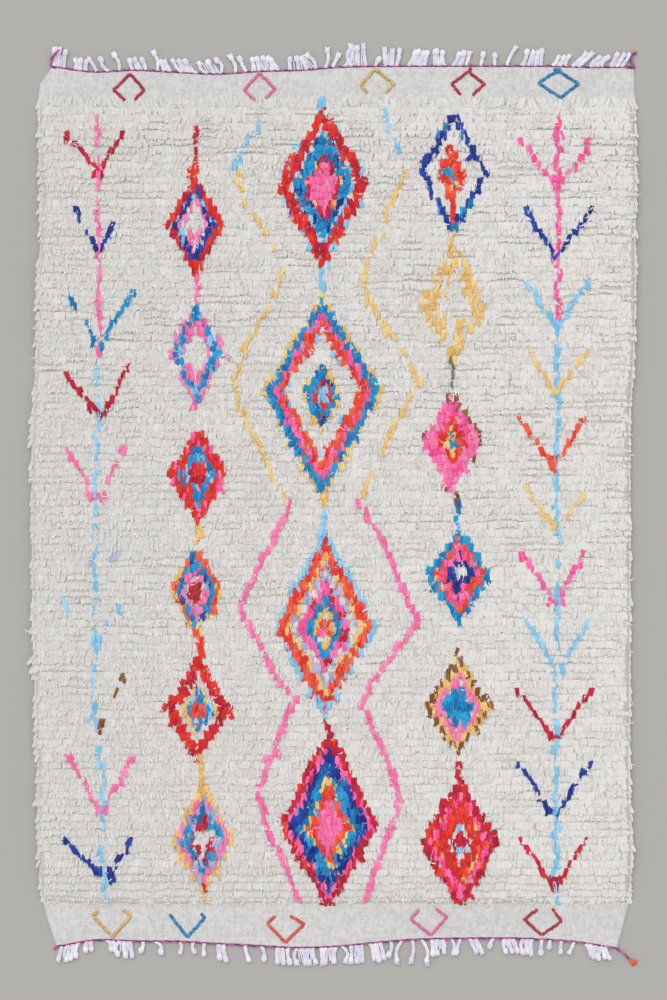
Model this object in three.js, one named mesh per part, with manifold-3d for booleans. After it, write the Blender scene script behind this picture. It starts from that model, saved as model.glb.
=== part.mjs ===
// A hand-knotted wool rug lying flat: one woven cloth with flat-woven ends and a deep knotted pile between
// them, a twined yarn that locks each end, and the knotted warp ends as a fringe beyond it.
// Millimetres. +Z is up, +Y runs to the top end, and the origin is in the middle of the underside.
import * as THREE from "three";
import Module from "manifold-3d";

const wasm = await Module();
wasm.setup();

// Driving dimensions. The pile's bulge, reach and relief are how far it stands out of its plain slab, and
// a row's gap and crest are shares of the way from its own start to the next row's.
const FLATWEAVE_THICKNESS = 4;
const TOP_REACH = 1215;
const BOTTOM_REACH = -1213;
const END_SHARES = [0, 0.5, 1];
const PILE_THICKNESS = 20;
const PILE_START = -1092;
const PILE_END = 1119;
const PILE_ROWS = 107;
const ROW_GAP = 0.1;
const ROW_CREST = 0.45;
const ROW_RELIEF = 2.6;
const LUMP_RELIEF = 2.2;
const LUMP_LENGTH = 190;
const COLUMNS = 14;
const RIM_BULGE = { left: 9, right: 4 };
const RIM_ROUNDING = 7;
const RIM_HEIGHT = 0.45;
const SEAT_GAP = 0.3;
const TWINE_DIAMETER = 5;
const TWINE_SIDES = 6;
const BACKING_WIDTH = 4;
const BACKING_HEIGHT = 4;
const STRAND_WIDTH = 10;
const STRAND_HEIGHT = 7;
const STRAND_KNOT = 1.35;
const STRAND_BITE = 2;
const LOCK_WIDTH = 20;
const LOCK_DEPTH = 12;
const LOCK_REACH = { left: [8, 18], right: [4, 10] };
const LOCK_DROOP = [-6, 4];
const LOCKS_A_SIDE = 34;
const TOP_BACKING = { from: -766, to: 808 };
const BOTTOM_BACKING = { from: -754, to: 770 };

// The selvedges, as the distance of each from the centre line at stations up the rug
const SELVEDGES = [
  { y: -1213, left: 762, right: 785 },
  { y: -1147, left: 782, right: 802 },
  { y: -1064, left: 802, right: 820 },
  { y: -940, left: 810, right: 826 },
  { y: -720, left: 813, right: 818 },
  { y: -528, left: 820, right: 820 },
  { y: -308, left: 826, right: 821 },
  { y: -33, left: 829, right: 821 },
  { y: 242, left: 828, right: 820 },
  { y: 352, left: 820, right: 828 },
  { y: 572, left: 812, right: 836 },
  { y: 833, left: 803, right: 835 },
  { y: 985, left: 808, right: 837 },
  { y: 1122, left: 810, right: 835 },
  { y: 1169, left: 806, right: 832 },
  { y: 1215, left: 774, right: 830 },
];

// The two ends, which wander a little because the last wefts were beaten in by hand
const TOP_END = [
  { x: -776, y: 1215 },
  { x: -708, y: 1203 },
  { x: -639, y: 1199 },
  { x: -530, y: 1204 },
  { x: -337, y: 1193 },
  { x: -240, y: 1200 },
  { x: -117, y: 1202 },
  { x: 14, y: 1212 },
  { x: 200, y: 1215 },
  { x: 515, y: 1215 },
  { x: 700, y: 1213 },
  { x: 769, y: 1206 },
  { x: 832, y: 1213 },
];
const BOTTOM_END = [
  { x: -762, y: -1207 },
  { x: -722, y: -1198 },
  { x: -639, y: -1188 },
  { x: -598, y: -1195 },
  { x: -500, y: -1189 },
  { x: -400, y: -1194 },
  { x: -227, y: -1203 },
  { x: -60, y: -1210 },
  { x: 76, y: -1200 },
  { x: 186, y: -1189 },
  { x: 350, y: -1184 },
  { x: 500, y: -1184 },
  { x: 650, y: -1191 },
  { x: 785, y: -1212 },
];

// The warp ends, knotted in strands: each row is a group of strands side by side. root is where the first
// leaves the end, pitch the step to the next, lean how far the tips lie to the right of their roots,
// gather how close the tips come beside the roots, and length how far they reach.
const TOP_FRINGE = [
  { root: -757, strands: 3, pitch: 13, lean: 3, gather: 1, length: 58 },
  { root: -710, strands: 3, pitch: 15, lean: -5, gather: 1, length: 36 },
  { root: -650, strands: 1, pitch: 0, lean: -27, gather: 1, length: 42 },
  { root: -617, strands: 1, pitch: 0, lean: -22, gather: 1, length: 48 },
  { root: -587, strands: 1, pitch: 0, lean: -25, gather: 1, length: 56 },
  { root: -551, strands: 3, pitch: 18, lean: -14, gather: 0.8, length: 38 },
  { root: -482, strands: 1, pitch: 0, lean: -20, gather: 1, length: 62 },
  { root: -464, strands: 2, pitch: 17, lean: -12, gather: 1, length: 38 },
  { root: -414, strands: 3, pitch: 20, lean: -30, gather: 1, length: 46 },
  { root: -345, strands: 3, pitch: 19, lean: -22, gather: 1, length: 42 },
  { root: -267, strands: 1, pitch: 0, lean: -16, gather: 1, length: 51 },
  { root: -238, strands: 1, pitch: 0, lean: -15, gather: 1, length: 47 },
  { root: -220, strands: 5, pitch: 18, lean: -14, gather: 0.72, length: 42 },
  { root: -117, strands: 4, pitch: 24, lean: -14, gather: 0.6, length: 42 },
  { root: -20, strands: 1, pitch: 0, lean: 2, gather: 1, length: 68 },
  { root: 0, strands: 1, pitch: 0, lean: 26, gather: 1, length: 46 },
  { root: 32, strands: 4, pitch: 20, lean: 6, gather: 0.65, length: 70 },
  { root: 117, strands: 1, pitch: 0, lean: 14, gather: 1, length: 28 },
  { root: 146, strands: 3, pitch: 15, lean: 4, gather: 1.15, length: 56 },
  { root: 208, strands: 4, pitch: 15, lean: 15, gather: 0.9, length: 50 },
  { root: 282, strands: 3, pitch: 14, lean: 2, gather: 1, length: 51 },
  { root: 330, strands: 3, pitch: 19, lean: 14, gather: 0.8, length: 46 },
  { root: 408, strands: 1, pitch: 0, lean: 5, gather: 1, length: 46 },
  { root: 447, strands: 1, pitch: 0, lean: -3, gather: 1, length: 41 },
  { root: 480, strands: 1, pitch: 0, lean: 28, gather: 1, length: 62 },
  { root: 521, strands: 4, pitch: 18, lean: 8, gather: 0.85, length: 52 },
  { root: 606, strands: 3, pitch: 18, lean: 12, gather: 0.9, length: 36 },
  { root: 660, strands: 2, pitch: 17, lean: 42, gather: 1, length: 48 },
  { root: 710, strands: 3, pitch: 16, lean: 17, gather: 1, length: 32 },
  { root: 766, strands: 3, pitch: 15, lean: 12, gather: 1, length: 44 },
];
const BOTTOM_FRINGE = [
  { root: -745, strands: 4, pitch: 15, lean: -4, gather: 1.15, length: 50 },
  { root: -677, strands: 2, pitch: 13, lean: 0, gather: 1, length: 30 },
  { root: -622, strands: 2, pitch: 15, lean: 5, gather: 1, length: 34 },
  { root: -587, strands: 3, pitch: 15, lean: 4, gather: 1, length: 50 },
  { root: -521, strands: 1, pitch: 0, lean: -10, gather: 1, length: 34 },
  { root: -488, strands: 1, pitch: 0, lean: 10, gather: 1, length: 42 },
  { root: -419, strands: 1, pitch: 0, lean: 4, gather: 1, length: 38 },
  { root: -384, strands: 1, pitch: 0, lean: 10, gather: 1, length: 32 },
  { root: -353, strands: 1, pitch: 0, lean: 1, gather: 1, length: 42 },
  { root: -315, strands: 2, pitch: 15, lean: 6, gather: 1, length: 52 },
  { root: -240, strands: 1, pitch: 0, lean: 12, gather: 1, length: 54 },
  { root: -196, strands: 1, pitch: 0, lean: 6, gather: 1, length: 46 },
  { root: -152, strands: 3, pitch: 15, lean: 4, gather: 1, length: 52 },
  { root: -98, strands: 4, pitch: 15, lean: 7, gather: 1, length: 54 },
  { root: -32, strands: 4, pitch: 14, lean: 2, gather: 1, length: 54 },
  { root: 28, strands: 1, pitch: 0, lean: -1, gather: 1, length: 50 },
  { root: 50, strands: 3, pitch: 15, lean: -2, gather: 1, length: 56 },
  { root: 103, strands: 3, pitch: 14, lean: 10, gather: 1, length: 58 },
  { root: 162, strands: 1, pitch: 0, lean: -8, gather: 1, length: 46 },
  { root: 191, strands: 1, pitch: 0, lean: -11, gather: 1, length: 70 },
  { root: 221, strands: 1, pitch: 0, lean: -5, gather: 1, length: 76 },
  { root: 246, strands: 1, pitch: 0, lean: 6, gather: 1, length: 78 },
  { root: 274, strands: 3, pitch: 15, lean: 4, gather: 1, length: 50 },
  { root: 329, strands: 1, pitch: 0, lean: 0, gather: 1, length: 52 },
  { root: 353, strands: 1, pitch: 0, lean: -4, gather: 1, length: 50 },
  { root: 378, strands: 2, pitch: 16, lean: 22, gather: 1, length: 48 },
  { root: 444, strands: 1, pitch: 0, lean: -12, gather: 1, length: 28 },
  { root: 472, strands: 3, pitch: 14, lean: 13, gather: 1, length: 46 },
  { root: 524, strands: 3, pitch: 14, lean: 6, gather: 1, length: 50 },
  { root: 577, strands: 1, pitch: 0, lean: 0, gather: 1, length: 48 },
  { root: 601, strands: 1, pitch: 0, lean: 0, gather: 1, length: 28 },
  { root: 631, strands: 1, pitch: 0, lean: 0, gather: 1, length: 42 },
  { root: 667, strands: 1, pitch: 0, lean: -15, gather: 1, length: 40 },
  { root: 698, strands: 5, pitch: 13.5, lean: 13, gather: 1, length: 42 },
];

// The free tails of the twined yarns past the corners, each listed outwards from the cloth
const TOP_LEFT_TAIL = [
  { x: -781, y: 1240 },
  { x: -776, y: 1258 },
];
const TOP_RIGHT_TAIL = [
  { x: 827, y: 1222 },
  { x: 822, y: 1240 },
  { x: 826, y: 1252 },
  { x: 838, y: 1256 },
];
const BOTTOM_LEFT_TAIL = [{ x: -768, y: -1217 }];
const BOTTOM_RIGHT_TAIL = [
  { x: 799, y: -1226 },
  { x: 817, y: -1242 },
];
const TASSEL_LENGTH = 24;
const TASSEL_HEAD = 7;
const TASSEL_LOCKS = 5;
const TASSEL_LOCK_WIDTH = 2.6;
const TASSEL_SPREAD = 1.1;

// A repeatable number from 0 to 1 for any whole number
function scatter(n) {
  const s = Math.sin(n * 12.9898 + 4.1414) * 43758.5453;
  return s - Math.floor(s);
}

// The value of a table's column at a place between its rows, on one smooth line through them
function onTable(table, from, to, at) {
  let i = table.findIndex((row) => row[from] > at);
  if (i < 0) i = table.length - 1;
  i = Math.max(i, 1);
  const slope = (k) => {
    const a = table[Math.max(k - 1, 0)];
    const b = table[Math.min(k + 1, table.length - 1)];
    return (b[to] - a[to]) / (b[from] - a[from]);
  };
  const [a, b] = [table[i - 1], table[i]];
  const span = b[from] - a[from];
  const t = THREE.MathUtils.clamp((at - a[from]) / span, 0, 1);
  const rise = (t * t * (3 - 2 * t)) * (b[to] - a[to]);
  const bend = t * (1 - t) * (slope(i - 1) * (1 - t) - slope(i) * t) * span;
  return a[to] + rise + bend;
}
const leftAt = (y) => -onTable(SELVEDGES, "y", "left", y);
const rightAt = (y) => onTable(SELVEDGES, "y", "right", y);
const topAt = (x) => onTable(TOP_END, "x", "y", x);
const bottomAt = (x) => onTable(BOTTOM_END, "x", "y", x);

// The height of the soft lumps that a hand-beaten pile settles into
function lumpAt(x, y) {
  const across = x / LUMP_LENGTH;
  const along = y / (0.55 * LUMP_LENGTH);
  const [i, j] = [Math.floor(across), Math.floor(along)];
  const ease = (t) => t * t * (3 - 2 * t);
  const [s, t] = [ease(across - i), ease(along - j)];
  const corner = (a, b) => scatter((i + a) * 57 + (j + b) * 131);
  const low = corner(0, 0) * (1 - s) + corner(1, 0) * s;
  const high = corner(0, 1) * (1 - s) + corner(1, 1) * s;
  return LUMP_RELIEF * (2 * (low * (1 - t) + high * t) - 1);
}

// A closed solid from points and triangles, with its faces turned outwards
function solidOf(points, faces) {
  const signed = faces.reduce((sum, [a, b, c]) => {
    const cross = new THREE.Vector3().crossVectors(points[b], points[c]);
    return sum + points[a].dot(cross);
  }, 0);
  const outward = signed < 0 ? faces.map(([a, b, c]) => [a, c, b]) : faces;
  const mesh = new wasm.Mesh({
    numProp: 3,
    vertProperties: new Float32Array(points.flatMap((p) => [p.x, p.y, p.z])),
    triVerts: new Uint32Array(outward.flat()),
  });
  return new wasm.Manifold(mesh);
}

// A solid through rings that have the same number of points, closed by a cap at each end
function loft(rings) {
  const sides = rings[0].length;
  const faces = [];
  for (let r = 0; r + 1 < rings.length; r++) {
    for (let k = 0; k < sides; k++) {
      const next = (k + 1) % sides;
      const [a, b] = [r * sides + k, r * sides + next];
      faces.push([a, b, b + sides], [a, b + sides, a + sides]);
    }
  }
  const last = (rings.length - 1) * sides;
  for (let k = 1; k + 1 < sides; k++) {
    faces.push([0, k + 1, k], [last, last + k, last + k + 1]);
  }
  return solidOf(rings.flat(), faces);
}

// A three-sided section that lies on the plane at the given floor, with its ridge on top
function lyingSection(centre, across, width, height, floor = 0) {
  const low = new THREE.Vector3(centre.x, centre.y, floor);
  const ridge = new THREE.Vector3(centre.x, centre.y, floor + height);
  const half = across.clone().multiplyScalar(width / 2);
  return [low.clone().sub(half), low.clone().add(half), ridge];
}

// Lines across the rug, from the bottom end up. A flat-woven end has lines at shares of the way from the pile
// to its edge, and each row of knots has two: one in the gap below it and one on its crest.
function gridLines() {
  const pitch = (PILE_END - PILE_START) / PILE_ROWS;
  const lines = END_SHARES.map((share) => ({ band: "bottom", share })).reverse();
  for (let row = 0; row < PILE_ROWS; row++) {
    lines.push({ band: "pile", y: PILE_START + (row + ROW_GAP) * pitch, row, crest: false });
    lines.push({ band: "pile", y: PILE_START + (row + ROW_CREST) * pitch, row, crest: true });
  }
  lines.push(...END_SHARES.map((share) => ({ band: "top", share })));
  return lines;
}

// The place on the floor under a line, at a share u of the way from the left selvedge to the right
function pointOn(line, u) {
  const { lerp } = THREE.MathUtils;
  const isTop = line.band === "top";
  const inner = isTop ? PILE_END : PILE_START;
  const y = line.band === "pile" ? line.y : lerp(inner, isTop ? TOP_REACH : BOTTOM_REACH, line.share);
  const x = lerp(leftAt(y), rightAt(y), u);
  if (line.band === "pile") return new THREE.Vector3(x, y, 0);
  return new THREE.Vector3(x, lerp(inner, isTop ? topAt(x) : bottomAt(x), line.share), 0);
}

// The cloth: flat underside, rounded pile edge, and a top of lumpy rows, each lapped over the one below
function clothSolid() {
  const lines = gridLines();
  const [rows, cols] = [lines.length, COLUMNS + 1];
  const points = [];
  const faces = [];
  for (const line of lines) {
    for (let c = 0; c < cols; c++) {
      const p = pointOn(line, c / COLUMNS);
      p.z = FLATWEAVE_THICKNESS;
      if (line.band === "pile") {
        const uneven = 0.5 + scatter(line.row * 31 + c * 7);
        const relief = line.crest ? ROW_RELIEF * uneven : -ROW_RELIEF;
        p.z = PILE_THICKNESS + relief + lumpAt(p.x, p.y);
        if (c === 0) p.x += RIM_ROUNDING;
        if (c === COLUMNS) p.x -= RIM_ROUNDING;
      }
      points.push(p);
    }
  }
  const top = (r, c) => r * cols + c;
  for (let r = 0; r + 1 < rows; r++) {
    for (let c = 0; c + 1 < cols; c++) {
      const [a, b, d, e] = [top(r, c), top(r, c + 1), top(r + 1, c), top(r + 1, c + 1)];
      faces.push(...((r + c) % 2 ? [[a, b, e], [a, e, d]] : [[a, b, d], [b, e, d]]));
    }
  }

  // The rim runs once round the cloth: along the bottom end, up the right, back along the top, down the left.
  const rim = [];
  for (let c = 0; c < cols; c++) rim.push([0, c]);
  for (let r = 1; r < rows; r++) rim.push([r, cols - 1]);
  for (let c = cols - 2; c >= 0; c--) rim.push([rows - 1, c]);
  for (let r = rows - 2; r > 0; r--) rim.push([r, 0]);
  const onFloor = rim.map(([r, c]) => pointOn(lines[r], c / COLUMNS));
  const first = points.length;
  rim.forEach(([r, c], i) => {
    const isPile = lines[r].band === "pile";
    const bulge = lines[r].crest ? 0.25 + 0.75 * scatter(r * 17 + c) : 0;
    const out = c === 0 ? -RIM_BULGE.left : c === COLUMNS ? RIM_BULGE.right : 0;
    const height = RIM_HEIGHT * (isPile ? PILE_THICKNESS : FLATWEAVE_THICKNESS);
    points.push(new THREE.Vector3(onFloor[i].x + out * bulge, onFloor[i].y, height));
  });
  points.push(...onFloor);
  const count = rim.length;
  for (let i = 0; i < count; i++) {
    const j = (i + 1) % count;
    const [a, b] = [top(...rim[i]), top(...rim[j])];
    const [c, d] = [first + i, first + j];
    faces.push([a, c, d], [a, d, b]);
    faces.push([c, c + count, d + count], [c, d + count, d]);
  }
  const outline = onFloor.map((p) => new THREE.Vector2(p.x, p.y));
  for (const [a, b, c] of THREE.ShapeUtils.triangulateShape(outline, [])) {
    faces.push([first + count + a, first + count + c, first + count + b]);
  }
  return solidOf(points, faces);
}

// A lock of pile that leans out over the selvedge, longer on the ragged left side
function rimLock(side, index) {
  const pitch = (PILE_END - PILE_START) / LOCKS_A_SIDE;
  const seed = index * 3 + (side > 0 ? 700 : 0);
  const y = PILE_START + (index + 0.25 + 0.5 * scatter(seed)) * pitch;
  const [shortest, longest] = side < 0 ? LOCK_REACH.left : LOCK_REACH.right;
  const reach = THREE.MathUtils.lerp(shortest, longest, scatter(seed + 1));
  const droop = THREE.MathUtils.lerp(...LOCK_DROOP, scatter(seed + 2));
  const edge = side < 0 ? leftAt(y) : rightAt(y);
  const along = new THREE.Vector3(0, 1, 0);
  const stations = [
    { out: -LOCK_DEPTH, width: LOCK_WIDTH, floor: 3, height: 13 },
    { out: reach, width: 0.3 * LOCK_WIDTH, floor: 1, height: 4 },
  ];
  return loft(
    stations.map(({ out, width, floor, height }) => {
      const centre = new THREE.Vector3(edge + side * out, y + (droop * Math.max(out, 0)) / reach, 0);
      return lyingSection(centre, along, width, height, floor);
    }),
  );
}

function rugSolid() {
  const locks = [];
  for (const side of [-1, 1]) {
    for (let index = 0; index < LOCKS_A_SIDE; index++) locks.push(rimLock(side, index));
  }
  return wasm.Manifold.union([clothSolid(), ...locks]);
}

// The cloth's own edge at one end, column by column
const TOP_EDGE = edgeLine({ share: 1, band: "top" });
const BOTTOM_EDGE = edgeLine({ share: 1, band: "bottom" });
function edgeLine(line) {
  return Array.from({ length: COLUMNS + 1 }, (_, c) => pointOn(line, c / COLUMNS));
}

// The outward direction of an edge at one of its columns
function edgeNormal(edge, outward, c) {
  const before = edge[Math.max(c - 1, 0)];
  const after = edge[Math.min(c + 1, COLUMNS)];
  const way = after.clone().sub(before);
  return new THREE.Vector3(-way.y, way.x, 0).normalize().multiplyScalar(outward);
}

// A point a little way past an edge, at a place counted in columns
function pastEdge(edge, outward, column, distance) {
  const c = Math.min(Math.floor(column), COLUMNS - 1);
  const t = column - c;
  const normal = edgeNormal(edge, outward, c).lerp(edgeNormal(edge, outward, c + 1), t);
  return edge[c].clone().lerp(edge[c + 1], t).addScaledVector(normal, distance);
}
const columnOf = (edge, x) => ((x - edge[0].x) / (edge[COLUMNS].x - edge[0].x)) * COLUMNS;

// The twined yarn along one end, with its tails: a plain six-sided cord that lies on the floor
function twineSolid(edge, outward, tailBefore, tailAfter) {
  const radius = TWINE_DIAMETER / 2;
  const route = tailBefore.map(({ x, y }) => new THREE.Vector3(x, y, 0)).reverse();
  for (let c = 0; c <= COLUMNS; c++) route.push(pastEdge(edge, outward, c, SEAT_GAP + radius));
  route.push(...tailAfter.map(({ x, y }) => new THREE.Vector3(x, y, 0)));
  return loft(
    route.map((p, i) => {
      const ahead = route[Math.min(i + 1, route.length - 1)];
      const behind = route[Math.max(i - 1, 0)];
      const way = ahead.clone().sub(behind).normalize();
      const across = new THREE.Vector3(-way.y, way.x, 0);
      return Array.from({ length: TWINE_SIDES }, (_, k) => {
        const turn = (k * 2 * Math.PI) / TWINE_SIDES;
        const height = radius * (Math.cos(Math.PI / TWINE_SIDES) + Math.sin(turn));
        return p.clone().addScaledVector(across, radius * Math.cos(turn)).setZ(height);
      });
    }),
  );
}

// One strand of knotted warps: it leaves the backing, leans, and ends in a knot with a short tip
function strandSolid(edge, outward, root, tipShift, length) {
  const start = SEAT_GAP * 2 + TWINE_DIAMETER;
  const base = pastEdge(edge, outward, columnOf(edge, root), start);
  const reach = length - start;
  const run = new THREE.Vector3(tipShift, outward * reach, 0);
  const across = new THREE.Vector3(run.y, -run.x, 0).normalize();
  const alongEdge = new THREE.Vector3(outward, 0, 0);
  const stations = [
    { share: STRAND_BITE / reach, width: STRAND_WIDTH, height: 0.9 * BACKING_HEIGHT },
    { share: 0.62, width: 0.8 * STRAND_WIDTH, height: STRAND_HEIGHT },
    { share: 0.82, width: STRAND_KNOT * 0.8 * STRAND_WIDTH, height: STRAND_KNOT * STRAND_HEIGHT },
    { share: 1, width: 0.55 * STRAND_WIDTH, height: 0.5 * STRAND_HEIGHT },
  ];
  return loft(
    stations.map(({ share, width, height }, i) => {
      const centre = base.clone().addScaledVector(run, share);
      return lyingSection(centre, i === 0 ? alongEdge : across, width, height);
    }),
  );
}

// The tips of one row of the fringe table: where each strand starts, and how far its tip is shifted
function strandsOf({ root, strands, pitch, lean, gather }) {
  const middle = ((strands - 1) * pitch) / 2;
  return Array.from({ length: strands }, (_, i) => {
    const offset = i * pitch - middle;
    return { root: root + i * pitch, tipShift: lean + offset * (gather - 1) };
  });
}

// A fringe: the narrow backing that the warp ends come out of, and its strands
function fringeSolid(edge, outward, { from, to }, table) {
  const inner = SEAT_GAP * 2 + TWINE_DIAMETER;
  const places = [columnOf(edge, from), columnOf(edge, to)];
  for (let c = Math.ceil(places[0]); c < places[1]; c++) places.push(c);
  const raised = new THREE.Vector3(0, 0, BACKING_HEIGHT);
  const rings = places
    .sort((a, b) => a - b)
    .map((column) => {
      const near = pastEdge(edge, outward, column, inner);
      const far = pastEdge(edge, outward, column, inner + BACKING_WIDTH);
      return [near, far, far.clone().add(raised), near.clone().add(raised)];
    });
  const strands = table.flatMap((group) =>
    strandsOf(group).map(({ root, tipShift }, i) => {
      const uneven = 1 - 0.1 * scatter(group.root * 5 + i * 13);
      return strandSolid(edge, outward, root, tipShift, group.length * uneven);
    }),
  );
  return wasm.Manifold.union([loft(rings), ...strands]);
}

// The tassel on the free tail: locks that spread from one bound head
function tasselSolid() {
  const [before, end] = BOTTOM_RIGHT_TAIL.slice(-2).map(({ x, y }) => new THREE.Vector3(x, y, 0));
  const way = end.clone().sub(before).normalize();
  const start = end.clone().addScaledVector(way, SEAT_GAP);
  const across = new THREE.Vector3(-way.y, way.x, 0);
  const head = loft([
    lyingSection(start, across, TASSEL_HEAD, 0.85 * TASSEL_HEAD),
    lyingSection(start.clone().addScaledVector(way, TASSEL_HEAD), across, 1.3 * TASSEL_HEAD, TASSEL_HEAD),
  ]);
  const locks = Array.from({ length: TASSEL_LOCKS }, (_, i) => {
    const turn = TASSEL_SPREAD * (i / (TASSEL_LOCKS - 1) - 0.5);
    const aim = way.clone().applyAxisAngle(new THREE.Vector3(0, 0, 1), turn);
    const side = new THREE.Vector3(-aim.y, aim.x, 0);
    const root = start.clone().addScaledVector(way, 0.6 * TASSEL_HEAD);
    const tip = root.clone().addScaledVector(aim, TASSEL_LENGTH - TASSEL_HEAD);
    return loft([
      lyingSection(root, side, TASSEL_LOCK_WIDTH, 0.8 * TASSEL_HEAD),
      lyingSection(tip, side, 1.7 * TASSEL_LOCK_WIDTH, 0.5 * TASSEL_HEAD),
    ]);
  });
  return wasm.Manifold.union([head, ...locks]);
}

function geometryOf(solid) {
  const mesh = solid.getMesh();
  const geometry = new THREE.BufferGeometry();
  geometry.setAttribute("position", new THREE.BufferAttribute(mesh.vertProperties, 3));
  geometry.setIndex(new THREE.BufferAttribute(mesh.triVerts, 1));
  geometry.computeVertexNormals();
  return geometry;
}

const ivoryWool = new THREE.MeshStandardMaterial({ color: 0xdbd6cf, roughness: 0.95, metalness: 0 });
const whiteWarp = new THREE.MeshStandardMaterial({ color: 0xe6e4ee, roughness: 0.9, metalness: 0 });
const raspberryTwine = new THREE.MeshStandardMaterial({ color: 0xb0456f, roughness: 0.9, metalness: 0 });
const coralWool = new THREE.MeshStandardMaterial({ color: 0xef5350, roughness: 0.95, metalness: 0 });

const PIECES = [
  { name: "rug", solid: rugSolid(), material: ivoryWool },
  {
    name: "twine_top",
    solid: twineSolid(TOP_EDGE, 1, TOP_LEFT_TAIL, TOP_RIGHT_TAIL),
    material: raspberryTwine,
  },
  {
    name: "twine_bottom",
    solid: twineSolid(BOTTOM_EDGE, -1, BOTTOM_LEFT_TAIL, BOTTOM_RIGHT_TAIL),
    material: raspberryTwine,
  },
  { name: "twine_tassel", solid: tasselSolid(), material: coralWool },
  {
    name: "fringe_top",
    solid: fringeSolid(TOP_EDGE, 1, TOP_BACKING, TOP_FRINGE),
    material: whiteWarp,
  },
  {
    name: "fringe_bottom",
    solid: fringeSolid(BOTTOM_EDGE, -1, BOTTOM_BACKING, BOTTOM_FRINGE),
    material: whiteWarp,
  },
];

const rug = new THREE.Group();
for (const { name, solid, material } of PIECES) {
  const piece = new THREE.Mesh(geometryOf(solid), material);
  piece.name = name;
  rug.add(piece);
}

export default rug;
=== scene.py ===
import math

import bpy
import numpy as np
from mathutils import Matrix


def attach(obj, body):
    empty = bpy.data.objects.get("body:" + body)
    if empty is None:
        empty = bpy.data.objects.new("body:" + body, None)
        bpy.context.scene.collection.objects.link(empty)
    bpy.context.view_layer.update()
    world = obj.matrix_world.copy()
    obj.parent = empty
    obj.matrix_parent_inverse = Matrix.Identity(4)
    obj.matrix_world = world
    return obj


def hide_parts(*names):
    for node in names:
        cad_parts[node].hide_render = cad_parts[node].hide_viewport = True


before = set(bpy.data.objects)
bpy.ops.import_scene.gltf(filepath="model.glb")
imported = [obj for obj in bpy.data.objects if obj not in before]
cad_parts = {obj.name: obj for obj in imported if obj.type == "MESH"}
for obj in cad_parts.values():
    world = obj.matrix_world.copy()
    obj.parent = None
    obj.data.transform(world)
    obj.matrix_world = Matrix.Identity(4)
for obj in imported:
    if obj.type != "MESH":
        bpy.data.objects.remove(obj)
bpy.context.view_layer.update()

# Woven cloth
# One cloth of wool warps with the wefts beaten down hard over them. It is woven flat at both ends, where it
# shows, and carries the knotted pile between them. It lies flat on the floor.
WEAVE_THICKNESS = 0.004
WEFT_PITCH = 0.0034
WEFT_RELIEF = 0.0009
WEFT_WANDER = 0.0009
WEAVE_COLUMNS = 150
HIDDEN_LINES = 24
RIM_BULGE = 0.001
PILE_START = -1.092
PILE_END = 1.119
SELVEDGE_FROM = 0.74
ENDS_FROM = 1.175
UNDERSIDE_TO = 0.0002
UNDYED_WEAVE = ("e7e7e8", "dadadb")
WEAVE_GRIME = "8f877c"
FIBRE_GLOSS = 0.25
SHEEN_SPREAD = 0.45
NOISE_CELLS = 257
NOISE_START = 1000.0

rng = np.random.default_rng(41)
corners = np.array([v.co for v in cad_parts["rug"].data.vertices])
outline = np.unique(corners[corners[:, 2] < UNDERSIDE_TO].round(5), axis=0)


def edge_points(keep, sort_by):
    kept = outline[keep]
    return kept[np.argsort(kept[:, sort_by])]


LEFT_EDGE = edge_points(outline[:, 0] < -SELVEDGE_FROM, 1)
RIGHT_EDGE = edge_points(outline[:, 0] > SELVEDGE_FROM, 1)
TOP_EDGE = edge_points(outline[:, 1] > ENDS_FROM, 0)
BOTTOM_EDGE = edge_points(outline[:, 1] < -ENDS_FROM, 0)


def smooth_line(along, values, at):
    """One smooth line through the points of an edge, read at any places along it."""
    slopes = np.gradient(values, along)
    i = np.clip(np.searchsorted(along, at) - 1, 0, len(along) - 2)
    span = along[i + 1] - along[i]
    t = np.clip((at - along[i]) / span, 0, 1)
    heights = values[i] * (1 + 2 * t) * (1 - t) ** 2 + values[i + 1] * t * t * (3 - 2 * t)
    return heights + span * (slopes[i] * t * (1 - t) ** 2 - slopes[i + 1] * t * t * (1 - t))


def left_at(y):
    return np.interp(y, LEFT_EDGE[:, 1], LEFT_EDGE[:, 0])


def right_at(y):
    return np.interp(y, RIGHT_EDGE[:, 1], RIGHT_EDGE[:, 0])


def top_at(x):
    return smooth_line(TOP_EDGE[:, 0], TOP_EDGE[:, 1], x)


def bottom_at(x):
    return smooth_line(BOTTOM_EDGE[:, 0], BOTTOM_EDGE[:, 1], x)


def soft_noise(x, y, cell_x, cell_y, seed):
    """Smooth random values from 0 to 1 over the floor, with bumps of the given size."""
    table = np.random.default_rng(seed).random((NOISE_CELLS, NOISE_CELLS))
    across, along = x / cell_x + NOISE_START, y / cell_y + NOISE_START
    i, j = np.floor(across).astype(int), np.floor(along).astype(int)
    s, t = across - i, along - j
    s, t = s * s * (3 - 2 * s), t * t * (3 - 2 * t)
    i, j = i % NOISE_CELLS, j % NOISE_CELLS
    next_i, next_j = (i + 1) % NOISE_CELLS, (j + 1) % NOISE_CELLS
    near = table[i, j] * (1 - s) + table[next_i, j] * s
    far = table[i, next_j] * (1 - s) + table[next_i, next_j] * s
    return near * (1 - t) + far * t


def colour(code):
    """A colour from its six-digit code, as a shader reads it."""
    values = [int(code[i : i + 2], 16) / 255 for i in (0, 2, 4)]
    return [v / 12.92 if v <= 0.04045 else ((v + 0.055) / 1.055) ** 2.4 for v in values] + [1.0]


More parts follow.
